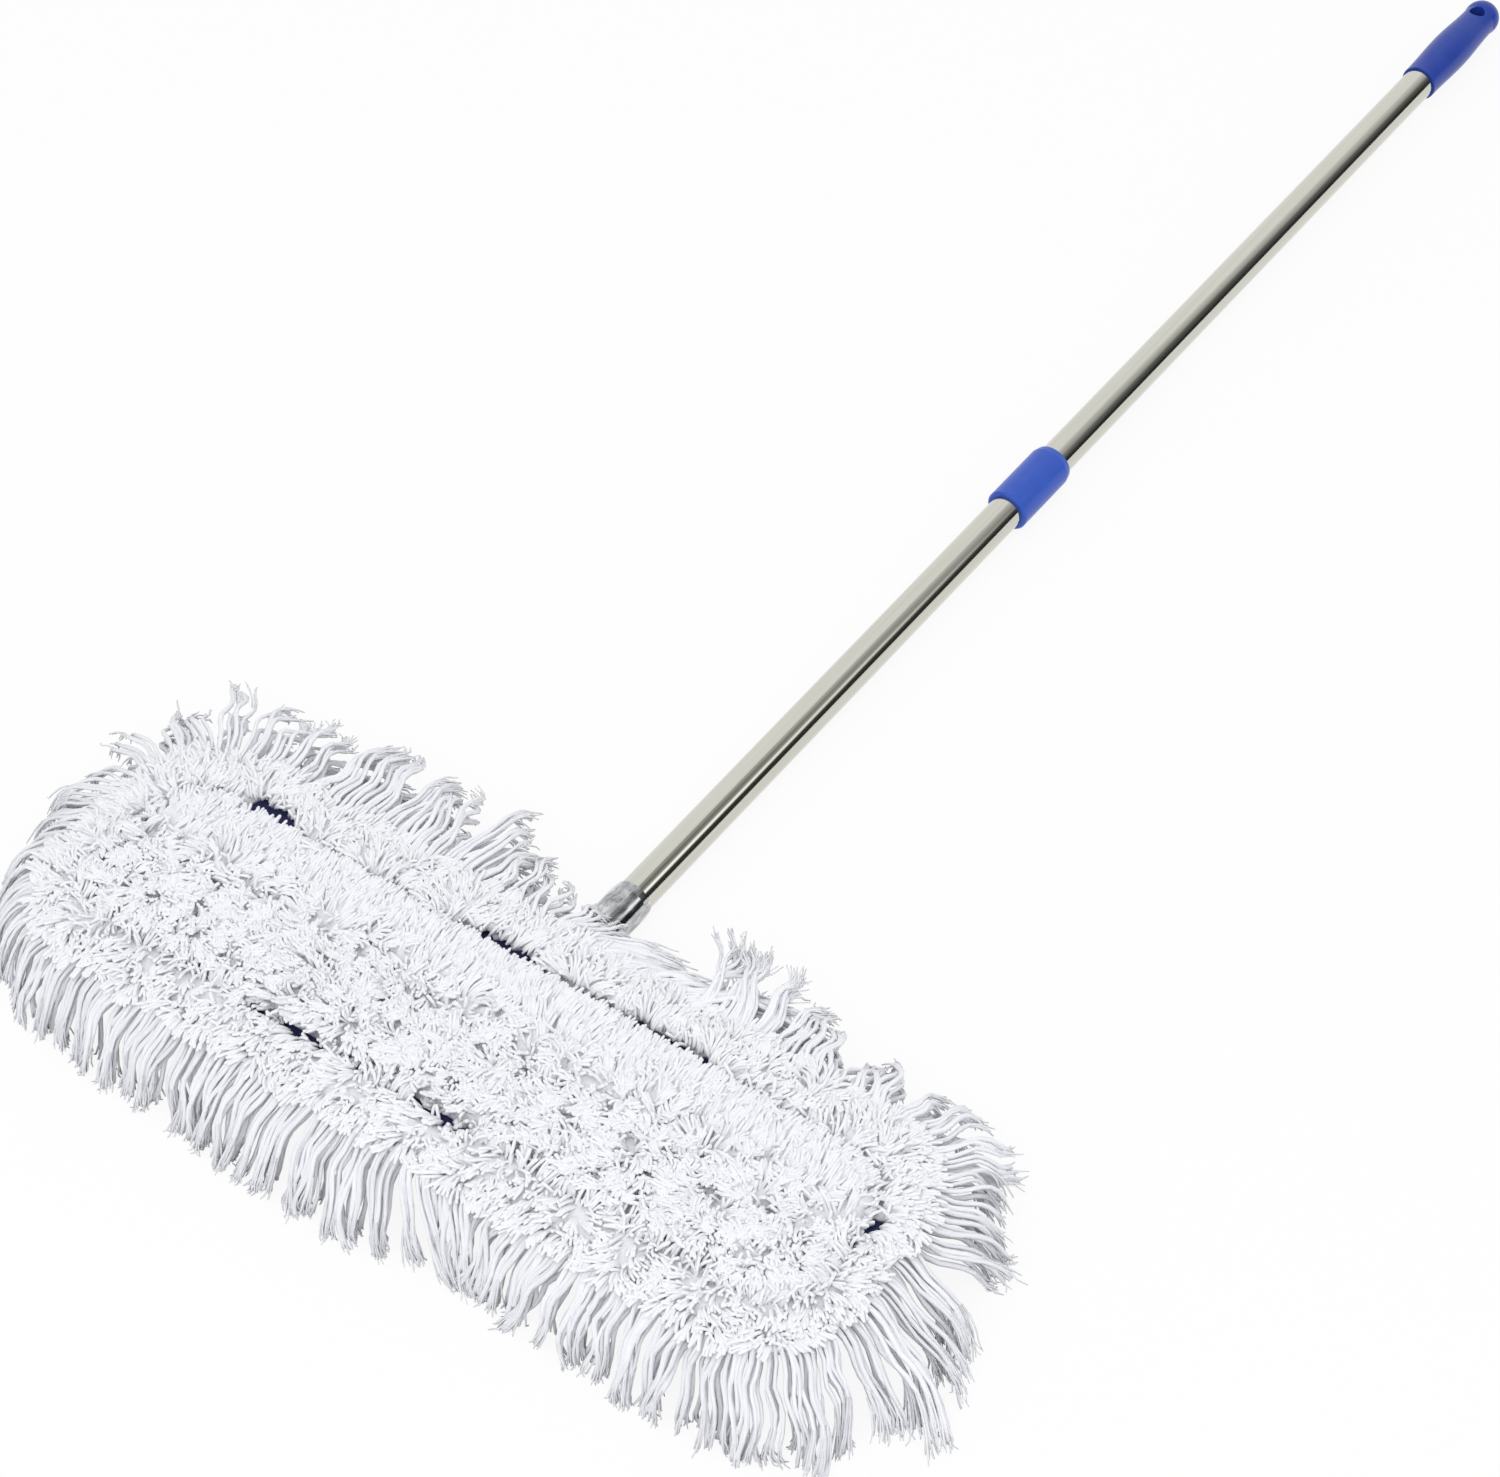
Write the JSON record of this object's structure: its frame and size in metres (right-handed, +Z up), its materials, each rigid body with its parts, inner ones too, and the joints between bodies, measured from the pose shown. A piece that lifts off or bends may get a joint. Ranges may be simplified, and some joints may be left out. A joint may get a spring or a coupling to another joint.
{
  "type": "dust mop",
  "caption": "Dust mop lying face up: fringed white cotton pad on a wire frame, with a swivelling, hinged, screw-together steel handle and blue grip.",
  "frame": {"origin": "on the floor under the middle of the whole mop's bounding box, as it lies face up", "axes": "+Z up, out of the working face; +Y along the handle towards the grip; +X along the pad"},
  "size_m": [0.7288, 1.4639, 0.06],
  "materials": {
    "yarn": "matt twisted cotton yarn",
    "canvas": "matt plain-woven canvas",
    "zinc_wire": "zinc plated",
    "pressed_steel": "zinc plated pressed sheet",
    "rivet_steel": "satin",
    "socket_steel": "galvanised, mottled",
    "polished_tube": "polished stainless tube",
    "nylon": "natural nylon",
    "screw_plastic": "satin",
    "coupling_blue": "semi-gloss",
    "grip_blue": "semi-gloss",
    "seal_rubber": "matt"
  },
  "bodies": {
    "mop_head": {"wire_frame": "zinc_wire", "cross_wires": "zinc_wire", "lower_clamp_plate": "pressed_steel", "upper_clamp_plate": "pressed_steel", "clamp_rivets": "rivet_steel", "pad_backing": "canvas", "edge_tape": "canvas", "pocket_left": "canvas", "pocket_right": "canvas", "tie_tape_left": "canvas", "tie_tape_right": "canvas", "tuft_field": "yarn", "tuft_border": "yarn", "fringe_front": "yarn", "fringe_back": "yarn", "fringe_left": "yarn", "fringe_right": "yarn"},
    "swivel_joint": {"swivel_yoke": "pressed_steel", "swivel_washer": "nylon", "swivel_post": "rivet_steel", "post_washer": "pressed_steel", "hinge_pin": "rivet_steel", "hinge_washers": "nylon"},
    "lower_handle": {"handle_socket": "socket_steel", "socket_rivet": "rivet_steel", "lower_tube": "polished_tube", "lower_screw_insert": "screw_plastic", "coupling": "coupling_blue"},
    "seal_ring": {"seal_washer": "seal_rubber"},
    "upper_handle": {"upper_tube": "polished_tube", "upper_screw_plug": "screw_plastic", "hanging_grip": "grip_blue"}
  },
  "joints": [
    {"name": "head_swivel", "type": "hinge", "parent": "mop_head", "child": "swivel_joint", "pos_m": [0, -0.58897, 0.016], "axis": [0, 0, 1], "continuous": true, "deforming": ["fringe_front", "fringe_back", "fringe_left", "fringe_right"]},
    {"name": "handle_tilt", "type": "hinge", "parent": "swivel_joint", "child": "lower_handle", "pos_m": [0, -0.58897, 0.016], "axis": [-1, 0, 0], "range_deg": [0, 180]},
    {"name": "screw_travel", "type": "slide", "parent": "lower_handle", "child": "seal_ring", "axis": [0, 1, 0], "range_m": [0, 0.024]},
    {"name": "handle_unscrew", "type": "hinge", "parent": "seal_ring", "child": "upper_handle", "pos_m": [0, 0.04503, 0.016], "axis": [0, 1, 0], "range_deg": [0, 2160]}
  ],
  "couplings": [
    {"joint": "handle_unscrew", "follows": "screw_travel", "rad_per_m": 1570.8}
  ]
}
